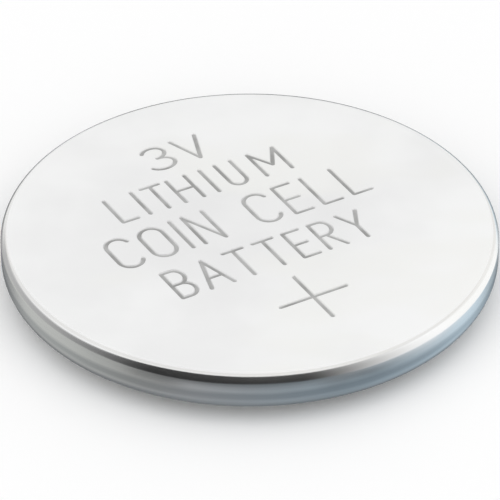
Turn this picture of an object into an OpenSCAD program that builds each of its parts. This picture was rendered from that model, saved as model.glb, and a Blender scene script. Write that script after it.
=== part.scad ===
// Lithium coin cell, 16 mm across and 2 mm high, lying on its negative face.
// Millimetres. +Z is up, and the origin is the middle of the negative face.
// Every piece is a solid of revolution, so each one is drawn as its half section.

/* [Cell] */
// Diameter over the can's wall
cell_d = 16; // [13:0.5:24]
// Height over both faces
cell_h = 2; // [1.9:0.05:3.2]

/* [Positive can] */
// Thickness of the can's sheet
can_t = 0.2; // [0.16:0.01:0.24]
// Outside radius round the positive face
face_edge_r = 0.3; // [0.26:0.01:0.45]
// Outside radius of the bend where the crimp starts
crimp_r = 0.6; // [0.5:0.05:0.7]
// Slope of the crimped lip under the horizontal, in degrees
crimp_slope = 30; // [24:1:36]
// Width of the crimp, from the wall in to the lip's edge
crimp_w = 0.83; // [0.7:0.01:0.95]

/* [Gasket] */
// Thickness between the can's wall and the cap's skirt
gasket_wall_t = 0.3; // [0.24:0.01:0.36]
// Thickness where the lip pinches it on the cap's shoulder
gasket_pinch_t = 0.24; // [0.18:0.01:0.3]
// Thickness under the edge of the cap's skirt
gasket_foot_t = 0.25; // [0.2:0.01:0.3]
// Thickness of the hook inside the cap's skirt
gasket_hook_t = 0.28; // [0.15:0.01:0.4]

/* [Negative cap] */
// Thickness of the cap's sheet
cap_t = 0.2; // [0.16:0.01:0.24]
// How far the negative face stands proud of the can's lip
cap_stand = 0.33; // [0.25:0.01:0.4]
// Outside radius round the negative face
cap_edge_r = 0.35; // [0.28:0.01:0.4]
// Steepness of the step between the negative face and the shoulder, in degrees
step_slope = 80; // [72:1:86]
// Outside radius of the hollow bend between the step and the shoulder
step_hollow_r = 0.1; // [0.06:0.01:0.14]
// Outside radius between the shoulder and the skirt
skirt_r = 0.35; // [0.28:0.01:0.4]
// Width of the open groove between the lip's edge and the step
groove_w = 0.36; // [0.3:0.01:0.45]

/* [Electrodes] */
// Thickness of the lithium disc
lithium_t = 0.35; // [0.25:0.01:0.5]
// Gap from the lithium disc to the start of the cap's bend
lithium_gap = 0.2; // [0.1:0.01:0.5]
// Thickness of the separator cloth
separator_t = 0.2; // [0.12:0.01:0.25]
// Gap between the separator's turned edge and the step
separator_gap = 0.1; // [0.05:0.01:0.2]
// Height of the separator's turned edge over its floor
separator_edge_h = 0.4; // [0.3:0.01:0.5]
// Inside radius between the separator's floor and its turned edge
separator_r = 0.1; // [0.05:0.01:0.15]
// Gap between the pellet and the separator's turned edge
pellet_gap = 0.1; // [0.05:0.01:0.3]
// Bevel round the pressed pellet
pellet_bevel = 0.08; // [0.04:0.01:0.15]
// Thickness of the collector grid
collector_t = 0.1; // [0.06:0.01:0.15]
// Bare border of the pellet round the collector grid
collector_border = 0.7; // [0.4:0.1:1.5]
// Spacing of the collector's wires
collector_pitch = 1; // [0.8:0.1:1.5]
// Width of the collector's wires
collector_wire_w = 0.3; // [0.2:0.01:0.4]
// Width of the collector's solid rim
collector_rim_w = 0.4; // [0.3:0.01:0.6]

/* [Hidden] */
$fn = 144;

// Turn in degrees that one straight piece of a rounded bend covers
bend_step = 10;
// Shortest straight run that the bend over the shoulder may leave on the skirt
skirt_straight_min = 0.04;
cell_r = cell_d / 2;

// Can, drawn along the middle of its sheet
can_wall_r = cell_r - can_t / 2;
can_floor_z = cell_h - can_t;
lip_r = cell_r - crimp_w;
lip_along = dir(crimp_slope);
lip_across = left_of(lip_along);
lip_end = [lip_r, cap_stand] + lip_across * can_t / 2;
lip_corner_z = lip_end.y + (can_wall_r - lip_end.x) * tan(crimp_slope);
can_path = [
    [0, cell_h - can_t / 2],
    [can_wall_r, cell_h - can_t / 2],
    [can_wall_r, lip_corner_z],
    lip_end
];
can_bends = [0, face_edge_r - can_t / 2, crimp_r - can_t / 2, 0];

// Cap, drawn the same way: face, step, shoulder and skirt
skirt_wall_r = cell_r - can_t - gasket_wall_t - cap_t / 2;
skirt_edge_z = can_floor_z - gasket_foot_t;
shoulder_start = lip_end + lip_across * (can_t / 2 + gasket_pinch_t + cap_t / 2);
skirt_corner_z = shoulder_z(skirt_wall_r);
skirt_bend_rise = tan((90 - crimp_slope) / 2);
skirt_bend_limit = (skirt_edge_z - skirt_corner_z - skirt_straight_min) / skirt_bend_rise;
skirt_bend = min(skirt_r - cap_t / 2, skirt_bend_limit);
skirt_foot_z = skirt_corner_z + skirt_bend * skirt_bend_rise;
step_top_r = lip_r - groove_w - cap_t / 2;
step_bottom_r = step_top_r - (shoulder_z(step_top_r) - cap_t / 2) / tan(step_slope);
cap_path = [
    [0, cap_t / 2],
    [step_bottom_r, cap_t / 2],
    [step_top_r, shoulder_z(step_top_r)],
    [skirt_wall_r, skirt_corner_z],
    [skirt_wall_r, skirt_edge_z]
];
cap_bends = [0, cap_edge_r - cap_t / 2, step_hollow_r + cap_t / 2, skirt_bend, 0];
contact_r = step_bottom_r - (cap_edge_r - cap_t / 2) * tan(step_slope / 2);

// Electrodes, stacked between the cap's floor and the can's
lithium_top_z = cap_t + lithium_t;
separator_top_z = lithium_top_z + separator_t;
pellet_top_z = can_floor_z - collector_t;
separator_outer_r = step_inner_r(lithium_top_z) - separator_gap;
pellet_r = separator_outer_r - separator_t - pellet_gap;
collector_r = pellet_r - collector_border;
collector_reach = floor(collector_r / collector_pitch);

// Vectors in the plane of a half section, where x is the radius and y the height
function dir(angle) = [cos(angle), sin(angle)];
function left_of(v) = [-v.y, v.x];
function unit(v) = v / norm(v);
function turned(v, angle) = v.x * dir(angle) + v.y * left_of(dir(angle));
function turn_between(u, v) = atan2(u.x * v.y - u.y * v.x, u * v);
function reversed(list) = [for (i = [len(list) - 1 : -1 : 0]) list[i]];

// Height of the middle of the shoulder's sheet, which lies parallel to the lip
function shoulder_z(r) = shoulder_start.y + (r - shoulder_start.x) * tan(crimp_slope);

// Radius of the step's inside face at a height
function step_inner_r(z) =
    step_bottom_r + (z - cap_t / 2) / tan(step_slope) - cap_t / 2 / sin(step_slope);

// Points round a bend of a sheet's path, held off to the left of its middle line
function bend_points(path, bends, i, off) =
    let (
        u = unit(path[i] - path[i - 1]),
        turn = turn_between(u, path[i + 1] - path[i]),
        side = sign(turn),
        start = path[i] - u * bends[i] * tan(abs(turn) / 2),
        centre = start + side * bends[i] * left_of(u),
        spoke = -side * left_of(u) * (bends[i] - side * off),
        steps = ceil(abs(turn) / bend_step)
    )
    [for (k = [0 : steps]) centre + turned(spoke, turn * k / steps)];

// First and last point of a sheet's path, held off to the left in the same way
function first_point(path, off) = path[0] + left_of(unit(path[1] - path[0])) * off;
function last_point(path, off) =
    let (n = len(path) - 1)
    path[n] + left_of(unit(path[n] - path[n - 1])) * off;

// One side of a sheet from end to end
function sheet_side(path, bends, off) = [
    first_point(path, off),
    for (i = [1 : len(path) - 2]) each bend_points(path, bends, i, off),
    last_point(path, off)
];

// Points of a half circle from one point to another, on the left of the way between them
function bead_points(from, to) =
    let (
        middle = (from + to) / 2,
        steps = ceil(180 / bend_step)
    )
    [for (k = [0 : steps]) middle + turned(from - middle, -180 * k / steps)];

// Solid ring bent from a sheet of even thickness
module bent_sheet(path, bends, thickness) {
    rotate_extrude()
        polygon(concat(
            sheet_side(path, bends, thickness / 2),
            reversed(sheet_side(path, bends, -thickness / 2))
        ));
}

// Drawn steel cup with the positive face on top, and its mouth crimped in under the gasket
module positive_can() {
    color([0.85, 0.85, 0.84])
        bent_sheet(can_path, can_bends, can_t);
}

// Drawn steel cap: negative face, step, sloped shoulder and a skirt that stands in the gasket
module negative_cap() {
    color([0.78, 0.79, 0.80])
        bent_sheet(cap_path, cap_bends, cap_t);
}

// Moulded seal that fills the space between can and cap, hooks round the straight part of the
// skirt, and ends in a round bead at the lip
module gasket() {
    skirt_inner_r = skirt_wall_r - cap_t / 2;
    hook_r = skirt_inner_r - gasket_hook_t;
    lip_inside = last_point(can_path, -can_t / 2);
    color([0.80, 0.80, 0.76])
        rotate_extrude()
            polygon(concat(
                [[hook_r, can_floor_z]],
                bend_points(can_path, can_bends, 1, -can_t / 2),
                bend_points(can_path, can_bends, 2, -can_t / 2),
                bead_points(lip_inside, lip_inside + lip_across * gasket_pinch_t),
                bend_points(cap_path, cap_bends, 3, -cap_t / 2),
                [
                    last_point(cap_path, -cap_t / 2),
                    last_point(cap_path, cap_t / 2),
                    [skirt_inner_r, skirt_foot_z],
                    [hook_r, skirt_foot_z]
                ]
            ));
}

// Disc of lithium pressed on the cap's floor
module lithium_anode() {
    color([0.70, 0.72, 0.74])
        translate([0, 0, cap_t])
            cylinder(h = lithium_t, r = contact_r - lithium_gap);
}

// Dish of cloth whose turned edge keeps the pellet off the cap
module separator() {
    path = [
        [0, lithium_top_z + separator_t / 2],
        [separator_outer_r - separator_t / 2, lithium_top_z + separator_t / 2],
        [separator_outer_r - separator_t / 2, separator_top_z + separator_edge_h]
    ];
    color([0.93, 0.93, 0.91])
        bent_sheet(path, [0, separator_r + separator_t / 2, 0], separator_t);
}

// Pressed pellet of manganese dioxide, bevelled round both edges
module cathode_pellet() {
    color([0.13, 0.13, 0.14])
        rotate_extrude()
            polygon([
                [0, separator_top_z],
                [pellet_r - pellet_bevel, separator_top_z],
                [pellet_r, separator_top_z + pellet_bevel],
                [pellet_r, pellet_top_z - pellet_bevel],
                [pellet_r - pellet_bevel, pellet_top_z],
                [0, pellet_top_z]
            ]);
}

// Grid of thin wires in a solid rim, between the pellet and the can's floor
module cathode_collector() {
    hole = collector_pitch - collector_wire_w;
    open_r = collector_r - collector_rim_w;
    color([0.66, 0.66, 0.67])
        translate([0, 0, pellet_top_z])
            linear_extrude(collector_t)
                difference() {
                    circle(r = collector_r);
                    intersection() {
                        circle(r = open_r);
                        for (i = [-collector_reach : collector_reach])
                            for (j = [-collector_reach : collector_reach])
                                if (norm([i, j]) * collector_pitch < open_r)
                                    translate([i, j] * collector_pitch)
                                        square(hole, center = true);
                    }
                }
}

positive_can();
gasket();
negative_cap();
lithium_anode();
separator();
cathode_pellet();
cathode_collector();
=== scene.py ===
"""Looks of the lithium coin cell: turned steel casing, cut marks, procedural finishes, studio."""

import math

import bmesh
import bpy
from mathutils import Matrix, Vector


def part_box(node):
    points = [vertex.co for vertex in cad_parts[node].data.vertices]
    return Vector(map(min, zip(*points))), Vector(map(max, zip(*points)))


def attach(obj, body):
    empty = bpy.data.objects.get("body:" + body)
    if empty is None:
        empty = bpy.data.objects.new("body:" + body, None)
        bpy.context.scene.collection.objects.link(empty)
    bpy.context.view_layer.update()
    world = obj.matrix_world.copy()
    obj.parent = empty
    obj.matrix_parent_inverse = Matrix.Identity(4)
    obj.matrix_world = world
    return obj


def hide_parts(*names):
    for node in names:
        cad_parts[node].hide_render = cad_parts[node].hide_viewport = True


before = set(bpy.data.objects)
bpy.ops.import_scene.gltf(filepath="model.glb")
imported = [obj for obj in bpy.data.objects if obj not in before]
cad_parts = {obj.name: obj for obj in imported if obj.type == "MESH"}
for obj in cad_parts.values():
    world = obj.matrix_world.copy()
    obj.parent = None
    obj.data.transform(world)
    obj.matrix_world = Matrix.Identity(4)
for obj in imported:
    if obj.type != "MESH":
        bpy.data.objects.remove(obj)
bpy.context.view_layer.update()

MM = 0.001

# Casing, in millimetres, as the solids have it
CAN_T = 0.2
FACE_EDGE_R = 0.3
CRIMP_R = 0.6
CRIMP_SLOPE = math.radians(30)
CRIMP_W = 0.83
GASKET_WALL_T = 0.3
GASKET_PINCH_T = 0.24
GASKET_FOOT_T = 0.25
GASKET_HOOK_T = 0.28
CAP_T = 0.2
CAP_EDGE_R = 0.35
STEP_SLOPE = math.radians(80)
STEP_HOLLOW_R = 0.1
SKIRT_R = 0.35
GROOVE_W = 0.36

CELL_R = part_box("positive_can")[1].x / MM
CELL_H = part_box("positive_can")[1].z / MM
CAP_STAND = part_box("positive_can")[0].z / MM

# Fineness of the turned meshes
ARC_STEP = math.radians(5)
TURN_STEPS = 288
SUPPORT_W = 0.03
SHARP_ANGLE = math.radians(28)

# What counts as on the axis, as facing straight up, and as the height of the face
ON_AXIS = 1e-9
FACING_UP = 0.9999
FACE_GAP = 0.001

# Marks, in millimetres: they are read along a line turned this far from +X
MARK_TURN = math.radians(30)
STROKE_W = 0.15
STROKE_DEPTH = 0.05
STROKE_FLOOR_W = 0.03
STROKE_LEVELS = 5
STROKE_OVERCUT = 0.01
STROKE_END_STEPS = 8
LETTER_ARC_STEP = 12
PLUS_ARM = 1.19
PLUS_AT = (-0.154, -4.27)
MARK_LINES = (
    # text, cap height, gap between letters as a share of it, middle of the baseline
    ("3V", 1.26, 0.28, (-0.016, 4.29)),
    ("LITHIUM", 1.35, 0.42, (-0.22, 2.28)),
    ("COIN CELL", 1.62, 0.28, (-0.02, -0.05)),
    ("BATTERY", 1.46, 0.27, (-0.16, -2.30)),
)
# Pairs of letters that stand closer together or further apart, as a share of the cap height
KERNING = {"LI": -0.08, "IT": -0.15, "TH": -0.20, "UM": 0.06}


def turned(flat, angle):
    """A flat vector turned by an angle."""
    return Vector((
        flat.x * math.cos(angle) - flat.y * math.sin(angle),
        flat.x * math.sin(angle) + flat.y * math.cos(angle),
    ))


def path_bend(points, radii, i, offset):
    """Arc round a path's corner i, held off to the left of the path."""
    before = (points[i] - points[i - 1]).normalized()
    after = (points[i + 1] - points[i]).normalized()
    turn = math.atan2(before.x * after.y - before.y * after.x, before.dot(after))
    side = math.copysign(1, turn)
    left = Vector((-before.y, before.x))
    start = points[i] - before * radii[i] * math.tan(abs(turn) / 2)
    centre = start + left * side * radii[i]
    spoke = left * -side * (radii[i] - side * offset)
    steps = max(2, math.ceil(abs(turn) / ARC_STEP))
    return [centre + turned(spoke, turn * k / steps) for k in range(steps + 1)]


def path_end(points, i, j, offset):
    """End i of a path whose neighbour is j, held off to the left of the path."""
    along = (points[max(i, j)] - points[min(i, j)]).normalized()
    return points[i] + Vector((-along.y, along.x)) * offset


def sheet_side(points, radii, offset):
    """One side of a bent sheet, from the path's start to its end."""
    last = len(points) - 1
    side = [path_end(points, 0, 1, offset)]
    for i in range(1, last):
        side += path_bend(points, radii, i, offset)
    return side + [path_end(points, last, last - 1, offset)]


def sheet_outline(points, radii, thickness):
    """Both sides of a bent sheet, as one outline."""
    return sheet_side(points, radii, thickness / 2) + sheet_side(points, radii, -thickness / 2)[::-1]


def lip_across():
    """Direction through the crimped lip's sheet, into the cell."""
    return Vector((-math.sin(CRIMP_SLOPE), math.cos(CRIMP_SLOPE)))


def can_path():
    """Middle of the can's sheet: face, wall and crimped lip."""
    wall_r = CELL_R - CAN_T / 2
    slope = math.tan(CRIMP_SLOPE)
    lip = Vector((CELL_R - CRIMP_W, CAP_STAND)) + lip_across() * CAN_T / 2
    corner_z = lip.y + (wall_r - lip.x) * slope
    points = [
        Vector((0, CELL_H - CAN_T / 2)),
        Vector((wall_r, CELL_H - CAN_T / 2)),
        Vector((wall_r, corner_z)),
        lip,
    ]
    return points, [0, FACE_EDGE_R - CAN_T / 2, CRIMP_R - CAN_T / 2, 0]


def cap_path():
    """Middle of the cap's sheet: face, step, shoulder and skirt."""
    lip = can_path()[0][-1]
    shoulder = lip + lip_across() * (CAN_T / 2 + GASKET_PINCH_T + CAP_T / 2)
    skirt_r = CELL_R - CAN_T - GASKET_WALL_T - CAP_T / 2
    step_top_r = CELL_R - CRIMP_W - GROOVE_W - CAP_T / 2

    def shoulder_z(r):
        return shoulder.y + (r - shoulder.x) * math.tan(CRIMP_SLOPE)

    step_bottom_r = step_top_r - (shoulder_z(step_top_r) - CAP_T / 2) / math.tan(STEP_SLOPE)
    points = [
        Vector((0, CAP_T / 2)),
        Vector((step_bottom_r, CAP_T / 2)),
        Vector((step_top_r, shoulder_z(step_top_r))),
        Vector((skirt_r, shoulder_z(skirt_r))),
        Vector((skirt_r, CELL_H - CAN_T - GASKET_FOOT_T)),
    ]
    return points, [0, CAP_EDGE_R - CAP_T / 2, STEP_HOLLOW_R + CAP_T / 2, SKIRT_R - CAP_T / 2, 0]


def gasket_outline():
    """Seal between the can's inside and the cap's outside, with a bead at the lip."""
    can, can_radii = can_path()
    cap, cap_radii = cap_path()
    skirt_in = cap[-1].x - CAP_T / 2
    skirt_bend = path_bend(cap, cap_radii, 3, CAP_T / 2)
    lip_inside = path_end(can, 3, 2, -CAN_T / 2)
    across = lip_across() * GASKET_PINCH_T
    middle = lip_inside + across / 2
    bead_steps = math.ceil(math.pi / (2 * ARC_STEP))
    bead = [
        middle - turned(across, -math.pi * k / bead_steps) / 2
        for k in range(bead_steps + 1)
    ]
    return (
        [Vector((skirt_in - GASKET_HOOK_T, CELL_H - CAN_T))]
        + path_bend(can, can_radii, 1, -CAN_T / 2)
        + path_bend(can, can_radii, 2, -CAN_T / 2)
        + bead
        + path_bend(cap, cap_radii, 3, -CAP_T / 2)
        + [path_end(cap, 4, 3, -CAP_T / 2), path_end(cap, 4, 3, CAP_T / 2), skirt_bend[-1]]
        + [Vector((skirt_in - GASKET_HOOK_T, skirt_bend[-1].y))]
    )


def support_flat(outline):
    """Adds a narrow ring inside each flat disc, so that its shading stays flat."""
    first, second = outline[0], outline[1]
    last, before = outline[-1], outline[-2]
    return (
        [first, Vector((second.x - SUPPORT_W, second.y))]
        + outline[1:-1]
        + [Vector((before.x - SUPPORT_W, before.y)), last]
    )


def mesh_from(form, name):
    """Mesh of a bmesh form, which is freed."""
    mesh = bpy.data.meshes.new(name)
    form.to_mesh(mesh)
    form.free()
    return mesh


def placed(name, data):
    """Object for a mesh or a camera, in the scene."""
    made = bpy.data.objects.new(name, data)
    bpy.context.scene.collection.objects.link(made)
    return made


def turned_mesh(name, outline):
    """Closed body of revolution, with a disc at each end if its outline meets the axis."""
    discs = outline[0].x < ON_AXIS
    rings_at = outline[1:-1] if discs else outline
    form = bmesh.new()
    rings = []
    for point in rings_at:
        ring = []
        for k in range(TURN_STEPS):
            angle = 2 * math.pi * k / TURN_STEPS
            ring.append(form.verts.new(Vector((
                point.x * math.cos(angle), point.x * math.sin(angle), point.y,
            )) * MM))
        rings.append(ring)
    pairs = list(zip(rings, rings[1:]))
    if not discs:
        pairs.append((rings[-1], rings[0]))
    for upper, lower in pairs:
        for k in range(TURN_STEPS):
            n = (k + 1) % TURN_STEPS
            form.faces.new((upper[k], lower[k], lower[n], upper[n]))
    if discs:
        form.faces.new(rings[0])
        form.faces.new(rings[-1][::-1])
    bmesh.ops.recalc_face_normals(form, faces=form.faces)
    return mesh_from(form, name)


def turned_piece(name, outline, node):
    """Turned object that stands for a node of the frame."""
    piece = placed(name, turned_mesh(name, outline))
    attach(piece, "root")
    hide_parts(node)
    return piece


def shade(mesh):
    """Smooth shading with crisp edges, and flat shading where the can's face is cut."""
    flat_r = (CELL_R - FACE_EDGE_R - SUPPORT_W) * MM
    for polygon in mesh.polygons:
        level = polygon.normal.z > FACING_UP and polygon.center.z > (CELL_H - FACE_GAP) * MM
        polygon.use_smooth = not (level and polygon.center.xy.length < flat_r)
    mesh.set_sharp_from_angle(angle=SHARP_ANGLE)


def arc(cx, cy, rx, ry, start, end):
    """Points of an arc in a letter's own units, with its angles in degrees."""
    steps = max(3, math.ceil(abs(end - start) / LETTER_ARC_STEP))
    angles = [math.radians(start + (end - start) * k / steps) for k in range(steps + 1)]
    return [(cx + rx * math.cos(a), cy + ry * math.sin(a)) for a in angles]


# Single-stroke letters one unit high: width, then strokes that are each straight or smooth
STEM = [(0, 0), (0, 1)]
BOWL = [(0, 1), *arc(0.2, 0.75, 0.22, 0.25, 90, -90), (0, 0.5)]
LETTERS = {
    " ": (0.30, []),
    "3": (0.72, [arc(0.36, 0.755, 0.31, 0.245, 155, -90), arc(0.36, 0.255, 0.36, 0.255, 90, -155)]),
    "V": (0.72, [[(0, 1), (0.36, 0)], [(0.36, 0), (0.72, 1)]]),
    "L": (0.40, [STEM, [(0, 0), (0.40, 0)]]),
    "I": (0, [STEM]),
    "T": (0.48, [[(0, 1), (0.48, 1)], [(0.24, 1), (0.24, 0)]]),
    "H": (0.50, [STEM, [(0.50, 0), (0.50, 1)], [(0, 0.5), (0.50, 0.5)]]),
    "U": (0.43, [[(0, 1), *arc(0.215, 0.22, 0.215, 0.22, 180, 360), (0.43, 1)]]),
    "M": (0.70, [STEM, [(0, 1), (0.35, 0.35)], [(0.35, 0.35), (0.70, 1)], [(0.70, 1), (0.70, 0)]]),
    "C": (0.47, [[*arc(0.25, 0.75, 0.25, 0.25, 20, 180), *arc(0.25, 0.25, 0.25, 0.25, 180, 340)]]),
    "O": (0.50, [
        [*arc(0.25, 0.75, 0.25, 0.25, 90, 180), *arc(0.25, 0.25, 0.25, 0.25, 180, 270)],
        [*arc(0.25, 0.75, 0.25, 0.25, 90, 0), *arc(0.25, 0.25, 0.25, 0.25, 0, -90)],
    ]),
    "N": (0.46, [STEM, [(0, 1), (0.46, 0)], [(0.46, 0), (0.46, 1)]]),
    "E": (0.38, [STEM, [(0, 1), (0.38, 1)], [(0, 0.5), (0.34, 0.5)], [(0, 0), (0.38, 0)]]),
    "B": (0.44, [STEM, BOWL, [(0, 0.5), *arc(0.2, 0.25, 0.24, 0.25, 90, -90), (0, 0)]]),
    "A": (0.56, [[(0, 0), (0.28, 1)], [(0.28, 1), (0.56, 0)], [(0.1, 0.36), (0.46, 0.36)]]),
    "R": (0.44, [STEM, BOWL, [(0.18, 0.5), (0.44, 0)]]),
    "Y": (0.50, [[(0, 1), (0.25, 0.48)], [(0.50, 1), (0.25, 0.48)], [(0.25, 0.48), (0.25, 0)]]),
}


def text_strokes(text, height, gap, middle):
    """Strokes of one line of marks in millimetres, before the marks are turned."""
    starts = []
    x = 0
    for letter, following in zip(text, text[1:] + " "):
        starts.append(x)
        x += LETTERS[letter][0] + gap + KERNING.get(letter + following, 0)
    width = x - gap
    strokes = []
    for letter, start in zip(text, starts):
        for line in LETTERS[letter][1]:
            strokes.append([
                Vector((middle[0] + (start + px - width / 2) * height, middle[1] + py * height))
                for px, py in line
            ])
    return strokes


def mark_strokes():
    """Every stroke on the face in millimetres, where it lies."""
    x, y = PLUS_AT
    strokes = [
        [Vector((x - PLUS_ARM, y)), Vector((x + PLUS_ARM, y))],
        [Vector((x, y - PLUS_ARM)), Vector((x, y + PLUS_ARM))],
    ]
    for line in MARK_LINES:
        strokes += text_strokes(*line)
    return [[turned(point, MARK_TURN) for point in stroke] for stroke in strokes]


def stroke_ring(stroke, reach):
    """Closed outline at an even distance round an open stroke, with round ends."""
    ring = []
    for points in (stroke, stroke[::-1]):
        last = len(points) - 1
        for i, point in enumerate(points):
            along = (points[min(i + 1, last)] - points[max(i - 1, 0)]).normalized()
            right = Vector((along.y, -along.x))
            ring.append(point + right * reach)
        along = (points[last] - points[last - 1]).normalized()
        right = Vector((along.y, -along.x))
        for k in range(1, STROKE_END_STEPS):
            angle = math.pi * k / STROKE_END_STEPS
            ring.append(points[last] + (right * math.cos(angle) + along * math.sin(angle)) * reach)
    return ring


def add_cutter(form, stroke):
    """Tool for one groove: flat floor, hollow sides and round ends."""
    levels = []
    for k in range(STROKE_LEVELS + 1):
        share = k / STROKE_LEVELS
        reach = STROKE_FLOOR_W / 2 + (STROKE_W - STROKE_FLOOR_W) / 2 * math.sin(share * math.pi / 2)
        depth = STROKE_DEPTH * math.cos(share * math.pi / 2)
        levels.append((reach, CELL_H - depth))
    # The mouth's edge is a short bevel that runs on above the face
    levels[-1] = (STROKE_W / 2 + STROKE_OVERCUT, CELL_H + STROKE_OVERCUT)
    rings = []
    for reach, z in levels:
        rings.append([form.verts.new(Vector((p.x, p.y, z)) * MM) for p in stroke_ring(stroke, reach)])
    count = len(rings[0])
    for lower, upper in zip(rings, rings[1:]):
        for k in range(count):
            n = (k + 1) % count
            form.faces.new((lower[k], lower[n], upper[n], upper[k]))
    form.faces.new(rings[0][::-1])
    form.faces.new(rings[-1])


def cut_marks(piece):
    """Cuts the marks into the can's face."""
    form = bmesh.new()
    for stroke in mark_strokes():
        add_cutter(form, stroke)
    bmesh.ops.recalc_face_normals(form, faces=form.faces)
    tool = placed("mark_tool", mesh_from(form, "mark_tool"))
    cut = piece.modifiers.new("marks", "BOOLEAN")
    cut.operation = "DIFFERENCE"
    cut.solver = "EXACT"
    cut.use_self = True
    cut.object = tool
    bpy.context.view_layer.update()
    ready = piece.evaluated_get(bpy.context.evaluated_depsgraph_get())
    made = bpy.data.meshes.new_from_object(ready)
    piece.modifiers.remove(cut)
    piece.data = made
    bpy.data.objects.remove(tool)


class Tree:
    """Short calls for the nodes of a node tree."""

    def __init__(self, tree):
        self.nodes = tree.nodes
        self.links = tree.links

    def node(self, kind, inputs=(), **settings):
        """A node with its settings, and each input linked to a socket or set to a value."""
        made = self.nodes.new(kind)
        for key, value in settings.items():
            setattr(made, key, value)
        for key, value in dict(inputs).items():
            if isinstance(value, bpy.types.NodeSocket):
                self.links.new(value, made.inputs[key])
            else:
                made.inputs[key].default_value = value
        return made

    def math(self, operation, *values):
        return self.node("ShaderNodeMath", enumerate(values), operation=operation).outputs[0]

    def fold(self, operation, first, *others):
        """Several values taken together, from left to right."""
        for other in others:
            first = self.math(operation, first, other)
        return first

    def sum(self, *values):
        return self.fold("ADD", *values)

    def product(self, *values):
        return self.fold("MULTIPLY", *values)

    def less(self, value, taken):
        return self.math("SUBTRACT", value, taken)

    def ramp(self, value, low, high, at_low=0.0, at_high=1.0):
        """Smooth change from at_low to at_high as the value goes from low to high."""
        inputs = {0: value, 1: low, 2: high, 3: at_low, 4: at_high}
        return self.node("ShaderNodeMapRange", inputs, interpolation_type="SMOOTHSTEP").outputs[0]

    def fall(self, value, low, high):
        """Smooth change from 1 to 0 as the value goes from low to high."""
        return self.ramp(value, low, high, 1.0, 0.0)

    def blend(self, factor, a, b):
        """Number from a to b."""
        return self.node("ShaderNodeMix", {0: factor, 2: a, 3: b}, data_type="FLOAT").outputs[0]

    def mix(self, factor, a, b):
        """Colour from a to b, each of them three shares or a node's output."""
        ends = [end if isinstance(end, bpy.types.NodeSocket) else (*end, 1) for end in (a, b)]
        inputs = {0: factor, 6: ends[0], 7: ends[1]}
        return self.node("ShaderNodeMix", inputs, data_type="RGBA").outputs[2]


# Where most of a noise pattern lies, from 0 to 1
NOISE_SPAN = (0.3, 0.7)


class Finish(Tree):
    """A material with one Principled shader, and calls for the patterns that feed it."""

    def __init__(self, name, **values):
        self.material = bpy.data.materials.new(name)
        self.material.use_nodes = True
        super().__init__(self.material.node_tree)
        self.shader = self.nodes["Principled BSDF"]
        for socket, value in values.items():
            self.shader.inputs[socket.replace("_", " ")].default_value = value
        self.place = self.node("ShaderNodeTexCoord").outputs["Object"]

    def stretched(self, *fineness):
        """Place in the frame, from metres to millimetres times the fineness along each axis."""
        scale = [share / MM for share in fineness]
        return self.node("ShaderNodeMapping", {"Vector": self.place, "Scale": scale}).outputs[0]

    def noise(self, fineness, detail=3.0, roughness=0.5):
        """Noise pattern with a fineness along each axis, in features to the millimetre."""
        place = self.stretched(*fineness)
        inputs = {"Vector": place, "Scale": 1.0, "Detail": detail, "Roughness": roughness}
        return self.node("ShaderNodeTexNoise", inputs).outputs[0]

    def along(self, axis):
        """Place along one axis of the frame, in millimetres."""
        parts = self.node("ShaderNodeSeparateXYZ", {0: self.place}).outputs
        return self.math("DIVIDE", parts["XYZ".index(axis)], MM)

    def radius(self):
        """Distance from the cell's axis, in millimetres."""
        flat = self.node("ShaderNodeMapping", {"Vector": self.place, "Scale": (1, 1, 0)}).outputs[0]
        length = self.node("ShaderNodeVectorMath", {0: flat}, operation="LENGTH").outputs["Value"]
        return self.math("DIVIDE", length, MM)

    def set(self, socket, value):
        self.links.new(value, self.shader.inputs[socket])

    def colour(self, pattern, low, high):
        """Base colour that follows a pattern."""
        self.set("Base Color", self.mix(pattern, low, high))

    def roughness(self, pattern, low, high):
        """Roughness that follows a noise pattern."""
        self.set("Roughness", self.ramp(pattern, *NOISE_SPAN, low, high))

    def bump(self, height, distance):
        """Relief that follows a pattern, with its height in millimetres."""
        inputs = {"Height": height, "Distance": distance * MM, "Strength": 1.0}
        self.set("Normal", self.node("ShaderNodeBump", inputs).outputs[0])


# Face of the can: paler in the clouds, paler away from the middle as a painted sheen, with stains and
# a painted shade line on its rounded edge.
# Spans of radius and height, here and for the wall, are in millimetres
FACE_DULL = (0.82, 0.82, 0.82)
FACE_PALE = (0.90, 0.903, 0.90)
CLOUD_SPAN = (0.36, 0.64)
CLOUD_SHARE = 0.55
# Painted sheen: the face's colour grows paler from the middle outwards over this span
OUTER_SHEEN_SPAN = (2.0, 6.2)
OUTER_SHEEN_SHARE = 0.45
STAIN = (0.86, 0.86, 0.825)
STAIN_SPAN = (0.50, 0.66)
STAIN_SHARE = 0.35
# Painted shade: a thin darker line on the rounded edge, just past where the face ends
EDGE_SHADE_LINE = (0.50, 0.48, 0.44)
EDGE_SHADE_LINE_STARTS = (7.79, 7.82)
EDGE_SHADE_LINE_ENDS = (7.86, 7.91)
EDGE_SHADE_LINE_SHARE = 0.25

# Wall of the can, with painted shade and reflection in bands by height: bright at the top, dark in a
# band under that, and about half as dark further down
WALL_BRIGHT = (0.84, 0.85, 0.86)
WALL_PAINTED_SHADE_COLOUR = (0.56, 0.58, 0.60)
WALL_PAINTED_SHADE = 1.05
WALL_PAINTED_SHADE_SPAN = (1.24, 1.46)
FOOT_PAINTED_LIGHT = 0.60
FOOT_PAINTED_LIGHT_SPAN = (1.02, 1.20)
DRAW_LINES = 0.6
# Its finish fades out over this height at the rounded edge, and this far in from the wall underneath
WALL_FADE = 0.10
WALL_WRAP = (1.5, 1.2)

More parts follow.
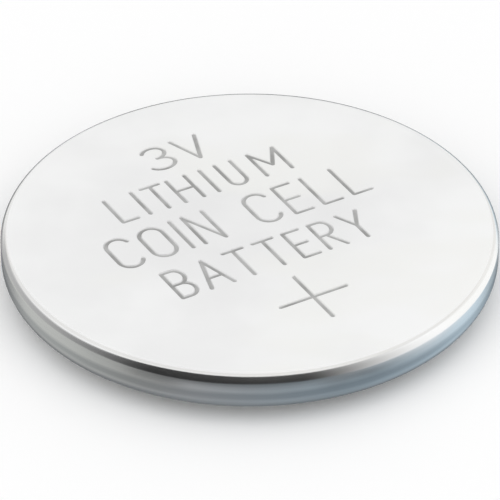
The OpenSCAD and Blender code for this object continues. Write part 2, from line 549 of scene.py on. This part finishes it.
# Marks: painted shade, dark in the lower part of a groove as a share of its depth, and stronger in
# some patches than others
MARK_SHADE = (0.36, 0.36, 0.355)
MARK_DEEP = 0.95
MARK_SHALLOW = 0.25
MARKS_WITHIN = (7.4, 7.6)
MARK_SHADE_PATCH_SPAN = (0.35, 0.65)
MARK_SHADE_LEAST = 0.72

# Roughness of the can: what the rounded edge loses and what the wall gains
FACE_ROUGH = (0.42, 0.47)
EDGE_SHINE = 0.28
EDGE_SHINE_W = 0.12
WALL_ROUGH = 0.06


def can_steel():
    """Satin face with faint clouds and a painted sheen, a painted shade line and shinier edge, drawn
    wall with painted shade in bands, painted shade on the floor of the cut marks.
    """
    steel = Finish("can_steel", Metallic=1.0)
    radius = steel.radius()
    height = steel.along("Z")
    clouds = steel.ramp(steel.noise((0.24, 0.24, 0.24)), *CLOUD_SPAN)
    stains = steel.ramp(steel.noise((0.17, 0.30, 0.2), detail=2.0), *STAIN_SPAN)
    grain = steel.noise((2.0, 22.0, 2.0), detail=4.0)
    draw_lines = steel.noise((0.5, 0.5, 9.0))

    # Painted sheen: the face is coloured paler away from the middle
    outer_sheen = steel.ramp(radius, *OUTER_SHEEN_SPAN)
    light = steel.sum(steel.product(clouds, CLOUD_SHARE), steel.product(outer_sheen, OUTER_SHEEN_SHARE))
    face = steel.mix(light, FACE_DULL, FACE_PALE)
    face = steel.mix(steel.product(stains, STAIN_SHARE), face, STAIN)
    # Painted shade line on the rounded edge
    shade_line_starts = steel.ramp(radius, *EDGE_SHADE_LINE_STARTS)
    shade_line_ends = steel.fall(radius, *EDGE_SHADE_LINE_ENDS)
    face = steel.mix(steel.product(shade_line_starts, shade_line_ends, EDGE_SHADE_LINE_SHARE), face, EDGE_SHADE_LINE)

    wall_top = CELL_H - FACE_EDGE_R
    on_rim = steel.ramp(radius, CELL_R - WALL_WRAP[0], CELL_R - WALL_WRAP[1])
    wall = steel.product(on_rim, steel.fall(height, wall_top, wall_top + WALL_FADE))
    # Painted shade and reflection: the wall's colour darkens in a band under its top and lightens
    # again towards the foot, plus the drawn lines
    painted_shade_and_lines = steel.ramp(height, *WALL_PAINTED_SHADE_SPAN, WALL_PAINTED_SHADE, 0)
    painted_shade_and_lines = steel.less(painted_shade_and_lines, steel.ramp(height, *FOOT_PAINTED_LIGHT_SPAN, FOOT_PAINTED_LIGHT, 0))
    painted_shade_and_lines = steel.sum(painted_shade_and_lines, steel.product(steel.less(draw_lines, 0.5), DRAW_LINES))
    wall_colour = steel.mix(painted_shade_and_lines, WALL_BRIGHT, WALL_PAINTED_SHADE_COLOUR)

    # Painted shade in the grooves: their lower part is coloured dark, more in some patches than
    # others
    deep = CELL_H - STROKE_DEPTH * MARK_DEEP
    shallow = CELL_H - STROKE_DEPTH * MARK_SHALLOW
    shade_patches = steel.ramp(steel.noise((1.1, 1.1, 1.1), detail=2.0), *MARK_SHADE_PATCH_SPAN, MARK_SHADE_LEAST, 1.0)
    mark = steel.product(steel.fall(height, deep, shallow), steel.fall(radius, *MARKS_WITHIN), shade_patches)
    steel.colour(mark, steel.mix(wall, face, wall_colour), MARK_SHADE)

    edge_r = CELL_R - FACE_EDGE_R
    edge = steel.ramp(radius, edge_r, edge_r + EDGE_SHINE_W)
    rough = steel.less(steel.ramp(clouds, 0, 1, *FACE_ROUGH), steel.product(edge, EDGE_SHINE))
    steel.set("Roughness", steel.sum(rough, steel.product(wall, WALL_ROUGH)))
    steel.bump(grain, 0.0006)
    return steel.material


def cap_steel():
    """Satin stainless steel with faint clouds and a fine straight grain."""
    steel = Finish("cap_steel", Metallic=1.0)
    clouds = steel.noise((0.3, 0.3, 0.3), detail=2.0)
    steel.colour(clouds, (0.70, 0.70, 0.69), (0.80, 0.80, 0.79))
    steel.roughness(clouds, 0.26, 0.36)
    steel.bump(steel.noise((22.0, 2.0, 2.0), detail=4.0), 0.0008)
    return steel.material


def seal_plastic():
    """Natural polypropylene, slightly milky."""
    plastic = Finish("seal_plastic", Roughness=0.42, IOR=1.49)
    clouds = plastic.noise((1.2, 1.2, 1.2))
    plastic.colour(clouds, (0.55, 0.55, 0.51), (0.68, 0.68, 0.64))
    plastic.bump(plastic.noise((14.0, 14.0, 14.0)), 0.002)
    return plastic.material


def lithium_metal():
    """Soft silver metal with a dull pressed skin."""
    metal = Finish("lithium", Metallic=1.0)
    skin = metal.noise((1.5, 1.5, 1.5), detail=6.0, roughness=0.6)
    metal.colour(skin, (0.50, 0.52, 0.55), (0.72, 0.73, 0.75))
    metal.roughness(skin, 0.38, 0.62)
    metal.bump(skin, 0.006)
    return metal.material


def separator_cloth():
    """Non-woven cloth: fibres lying two ways."""
    cloth = Finish("separator_cloth", Roughness=0.9)
    one_way = cloth.noise((3.0, 40.0, 10.0), detail=2.0)
    other_way = cloth.noise((40.0, 3.0, 10.0), detail=2.0)
    fibres = cloth.math("MAXIMUM", one_way, other_way)
    cloth.colour(fibres, (0.74, 0.74, 0.72), (0.90, 0.90, 0.88))
    cloth.bump(fibres, 0.012)
    return cloth.material


def cathode_powder():
    """Pressed black powder with a few graphite glints, which are smoother."""
    powder = Finish("cathode_powder")
    place = powder.stretched(12, 12, 12)
    grains = powder.node("ShaderNodeTexVoronoi", {"Vector": place, "Scale": 1.0}).outputs["Distance"]
    glint = powder.ramp(powder.noise((9, 9, 9), detail=2.0), 0.62, 0.74)
    powder.colour(grains, (0.018, 0.018, 0.02), (0.05, 0.05, 0.052))
    powder.set("Roughness", powder.ramp(glint, 0, 1, 0.85, 0.4))
    powder.bump(grains, 0.01)
    return powder.material


def collector_steel():
    """Thin stamped steel grid."""
    steel = Finish("collector_steel", Metallic=1.0)
    stain = steel.noise((1, 1, 1), detail=4.0)
    steel.colour(stain, (0.48, 0.48, 0.47), (0.66, 0.66, 0.65))
    steel.roughness(stain, 0.3, 0.5)
    steel.bump(steel.noise((18, 3, 3)), 0.001)
    return steel.material


def give(piece, material):
    """Puts one material on a piece."""
    piece.data.materials.clear()
    piece.data.materials.append(material)


def make_cell():
    """Every piece of the cell, each in its finish."""
    can_outline = support_flat(sheet_outline(*can_path(), CAN_T))
    cap_outline = support_flat(sheet_outline(*cap_path(), CAP_T))
    can = turned_piece("can_shell", can_outline, "positive_can")
    cut_marks(can)
    cap = turned_piece("cap_shell", cap_outline, "negative_cap")
    seal = turned_piece("seal_ring", gasket_outline(), "gasket")
    for piece, material in ((can, can_steel()), (cap, cap_steel()), (seal, seal_plastic())):
        give(piece, material)
        shade(piece.data)
    for node, material in (
        ("lithium_anode", lithium_metal()),
        ("separator", separator_cloth()),
        ("cathode_pellet", cathode_powder()),
        ("cathode_collector", collector_steel()),
    ):
        give(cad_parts[node], material)


# Studio floor. What shines sees only the part of it under the cell, up to this far in from the wall
FLOOR_HALF = 1.0
FLOOR_COLOUR = (0.97, 0.97, 0.97, 1)
FLOOR_SEEN = (1.2, 0.5)


def make_floor():
    """Plain pale floor under the cell."""
    mesh = bpy.data.meshes.new("floor")
    h = FLOOR_HALF
    mesh.from_pydata([(-h, -h, 0), (h, -h, 0), (h, h, 0), (-h, h, 0)], [], [(0, 1, 2, 3)])
    floor = placed("floor", mesh)
    paint = Finish("floor", Base_Color=FLOOR_COLOUR, Roughness=1.0, Specular_IOR_Level=0.0)
    beyond = paint.ramp(paint.radius(), CELL_R - FLOOR_SEEN[0], CELL_R - FLOOR_SEEN[1])
    glossy = paint.node("ShaderNodeLightPath").outputs["Is Glossy Ray"]
    paint.set("Alpha", paint.less(1.0, paint.product(glossy, beyond)))
    give(floor, paint.material)


# Near card round the cell's front, seen only by what shines: it draws the line along the face's edge.
# Heights are in millimetres, and so is the span towards the back over which it ends
CARD_R = 9.5
CARD_REACH = math.radians(110)
CARD_STEPS = 96
CARD_HEIGHTS = (-0.5, 5.8)
CARD_BACK_SPAN = (0, 3)
# The other spans are where a change along the card starts and ends, from -1 at the left to 1
CARD_DARK = 0.035
CARD_LEFT = 0.47
CARD_LEFT_SPAN = (-1.05, -0.40)
CARD_RIGHT = 1.03
CARD_RIGHT_SPAN = (0.22, 0.85)
# On the left the card narrows: its foot rises and its top drops. On the right its foot drops
CARD_FOOT = 0.60
CARD_FOOT_SOFT = 0.12
CARD_TOP = 4.8
CARD_TOP_SOFT = 0.5
CARD_NARROW_SPAN = (-0.85, -0.30)
CARD_FOOT_RISE = 0.35
CARD_TOP_DROP = 1.9
CARD_FOOT_DROP = 0.30
CARD_FOOT_DROP_SPAN = (0.60, 0.85)
# A half-clear dark hem under the foot, to the left and to the right of the front
HEM_LEFT = 0.45
HEM_LEFT_STARTS = (-0.62, -0.48)
HEM_LEFT_ENDS = (-0.40, -0.25)
HEM_RIGHT = 0.60
HEM_RIGHT_STARTS = (0.25, 0.42)
HEM_RIGHT_ENDS = (0.50, 0.85)
HEM_FOOT = (0.15, 0.32)
HEM_TOP = (0.52, 0.62)
HEM_DROP = 0.15
HEM_DROP_SPAN = (0.45, 0.62)


def card_mesh():
    """Upright strip curved round the cell's front."""
    form = bmesh.new()
    rows = []
    for z in CARD_HEIGHTS:
        row = []
        for k in range(CARD_STEPS + 1):
            angle = CARD_REACH * (2 * k / CARD_STEPS - 1)
            place = Vector((CARD_R * math.sin(angle), -CARD_R * math.cos(angle), z))
            row.append(form.verts.new(place * MM))
        rows.append(row)
    for k in range(CARD_STEPS):
        form.faces.new((rows[0][k], rows[0][k + 1], rows[1][k + 1], rows[1][k]))
    return mesh_from(form, "card")


def card_hem(paint, side, height):
    """How much of the view the hem covers under the card's foot."""
    left = paint.product(
        paint.ramp(side, *HEM_LEFT_STARTS), paint.fall(side, *HEM_LEFT_ENDS), HEM_LEFT
    )
    right = paint.product(
        paint.ramp(side, *HEM_RIGHT_STARTS), paint.fall(side, *HEM_RIGHT_ENDS), HEM_RIGHT
    )
    height = paint.sum(height, paint.ramp(side, *HEM_DROP_SPAN, 0, HEM_DROP))
    return paint.product(
        paint.sum(left, right), paint.ramp(height, *HEM_FOOT), paint.fall(height, *HEM_TOP)
    )


def make_card():
    """Curved card with soft edges: dark in front, grey on the left and white on the right."""
    card = placed("card", card_mesh())
    paint = Finish("card", Base_Color=(0, 0, 0, 1), Specular_IOR_Level=0.0, Emission_Strength=1.0)
    side = paint.math("DIVIDE", paint.along("X"), CARD_R)
    height = paint.along("Z")
    left = paint.product(paint.fall(side, *CARD_LEFT_SPAN), CARD_LEFT)
    right = paint.product(paint.ramp(side, *CARD_RIGHT_SPAN), CARD_RIGHT)
    level = paint.sum(left, right, CARD_DARK)

    rise = paint.ramp(side, *CARD_NARROW_SPAN, CARD_FOOT_RISE, 0)
    drop = paint.ramp(side, *CARD_FOOT_DROP_SPAN, 0, CARD_FOOT_DROP)
    over_foot = paint.sum(paint.less(height, rise), drop)
    foot = paint.ramp(over_foot, CARD_FOOT - CARD_FOOT_SOFT, CARD_FOOT + CARD_FOOT_SOFT)
    over_top = paint.sum(height, paint.ramp(side, *CARD_NARROW_SPAN, CARD_TOP_DROP, 0))
    top = paint.fall(over_top, CARD_TOP - CARD_TOP_SOFT, CARD_TOP + CARD_TOP_SOFT)
    back = paint.fall(paint.along("Y"), *CARD_BACK_SPAN)

    hem = card_hem(paint, side, height)
    cover = paint.sum(foot, paint.product(paint.less(1.0, foot), hem))
    paint.set("Emission Color", paint.product(level, paint.math("DIVIDE", foot, cover)))
    paint.set("Alpha", paint.product(top, back, cover))
    give(card, paint.material)
    card.visible_camera = False
    card.visible_diffuse = False
    card.visible_transmission = False
    card.visible_shadow = False


# Table that metal sees under the horizon, as shares of white. Each span is where a change starts
# and ends in the direction of view: x from left to right, y from front to back and z upwards
HORIZON_SPAN = (-0.14, 0.0)
TABLE_FRONT = 0.37
TABLE_DEPTH_SPAN = (-0.45, 0.45)
TABLE_BACK = 0.22
TABLE_BACK_SIDES = 0.48
TABLE_BACK_SHIFT = 0.07
TABLE_BACK_SPAN = (0.22, 0.66)
TABLE_ASIDE_SPAN = (0.45, 0.70)
TABLE_SIDES = 0.09
TABLE_SIDES_SPAN = (-0.55, 0.0)
TABLE_RIGHT = 0.19
TABLE_RIGHT_SPAN = (0.0, 0.40)
# The table stands higher in a narrow stretch straight behind, for the line at the face's far edge
RISE = 0.26
RISE_ASIDE_SPAN = (0.06, 0.20)
RISE_BACK_SPAN = (0.5, 0.9)
# Tint of what metal sees near and under the horizon
TINT_SPAN = (-0.15, 0.15)
COOL = (0.80, 0.98, 1.10)
COOL_SPAN = (-0.75, 0.80)
WARM = (1.0, 1.01, 0.965)
WARM_SPAN = (-0.80, -0.30)
# Light on what is matt: even light, and a soft light high on the camera's side
EVEN_LIGHT = 0.50
SOFT_LIGHT = 1.35
SOFT_LIGHT_WAY = (0, -0.64, 0.77)
SOFT_LIGHT_POWER = 2.0


def table_seen(sky, x, y, z):
    """Brightness of the grey table and of the white studio over it."""
    aside = sky.math("ABSOLUTE", x)
    off_back = sky.math("ABSOLUTE", sky.sum(x, TABLE_BACK_SHIFT))
    back = sky.ramp(off_back, *TABLE_BACK_SPAN, TABLE_BACK, TABLE_BACK_SIDES)
    table = sky.blend(sky.ramp(y, *TABLE_DEPTH_SPAN), TABLE_FRONT, back)
    sides = sky.product(
        sky.ramp(aside, *TABLE_ASIDE_SPAN), sky.ramp(y, *TABLE_SIDES_SPAN), TABLE_SIDES
    )
    right = sky.product(
        sky.ramp(x, *TABLE_ASIDE_SPAN), sky.ramp(y, *TABLE_RIGHT_SPAN), TABLE_RIGHT
    )
    table = sky.sum(table, sides, right)
    rise = sky.product(sky.fall(aside, *RISE_ASIDE_SPAN), sky.ramp(y, *RISE_BACK_SPAN), RISE)
    return sky.blend(sky.ramp(sky.less(z, rise), *HORIZON_SPAN), table, 1.0)


def tint_seen(sky, x, z):
    """Tint of the table: cooler towards the right, warmer at the far left."""
    low = sky.fall(z, *TINT_SPAN)
    tint = sky.mix(sky.product(low, sky.ramp(x, *COOL_SPAN)), (1, 1, 1), COOL)
    return sky.mix(sky.product(low, sky.fall(x, *WARM_SPAN)), tint, WARM)


def matt_light(sky, way):
    """Grey light for what is matt."""
    inputs = {0: way, 1: SOFT_LIGHT_WAY}
    facing = sky.node("ShaderNodeVectorMath", inputs, operation="DOT_PRODUCT").outputs["Value"]
    soft = sky.math("POWER", sky.math("MAXIMUM", facing, 0.0), SOFT_LIGHT_POWER)
    light = sky.sum(EVEN_LIGHT, sky.product(SOFT_LIGHT, soft))
    return sky.node("ShaderNodeCombineXYZ", {0: light, 1: light, 2: light}).outputs[0]


def make_world():
    """Grey table under a white studio for what shines, soft light for what is matt, white behind."""
    world = bpy.data.worlds.new("studio")
    bpy.context.scene.world = world
    world.use_nodes = True
    world.node_tree.nodes.clear()
    sky = Tree(world.node_tree)
    way = sky.node("ShaderNodeTexCoord").outputs["Generated"]
    x, y, z = sky.node("ShaderNodeSeparateXYZ", {0: way}).outputs

    inputs = {0: tint_seen(sky, x, z), 3: table_seen(sky, x, y, z)}
    metal_sees = sky.node("ShaderNodeVectorMath", inputs, operation="SCALE").outputs[0]
    path = sky.node("ShaderNodeLightPath").outputs
    colour = sky.mix(path["Is Glossy Ray"], matt_light(sky, way), metal_sees)
    colour = sky.mix(path["Is Camera Ray"], colour, (1, 1, 1))
    background = sky.node("ShaderNodeBackground", {"Color": colour, "Strength": 1.0}).outputs[0]
    sky.node("ShaderNodeOutputWorld", {0: background})


# Camera of the photo, aimed at the middle of the cell
CAMERA_ELEVATION = math.radians(35.28)
CAMERA_DISTANCE = 150 * MM
CAMERA_TARGET = Vector((0.006, 0, 1.109)) * MM
CAMERA_CLIP = (10 * MM, 5)
SENSOR_W = 36
FOCAL_PX = 4660
PHOTO_PX = 500


def make_camera():
    """The photo's camera, with its lens set from the photo's focal length in pixels."""
    data = bpy.data.cameras.new("camera")
    data.sensor_width = SENSOR_W
    data.lens = SENSOR_W * FOCAL_PX / PHOTO_PX
    data.clip_start, data.clip_end = CAMERA_CLIP
    camera = placed("camera", data)
    back = Vector((0, -math.cos(CAMERA_ELEVATION), math.sin(CAMERA_ELEVATION)))
    camera.location = CAMERA_TARGET + back * CAMERA_DISTANCE
    camera.rotation_mode = "QUATERNION"
    camera.rotation_quaternion = (-back).to_track_quat("-Z", "Y")
    bpy.context.scene.camera = camera


make_cell()
make_floor()
make_card()
make_world()
make_camera()
bpy.context.scene.view_settings.view_transform = "Standard"
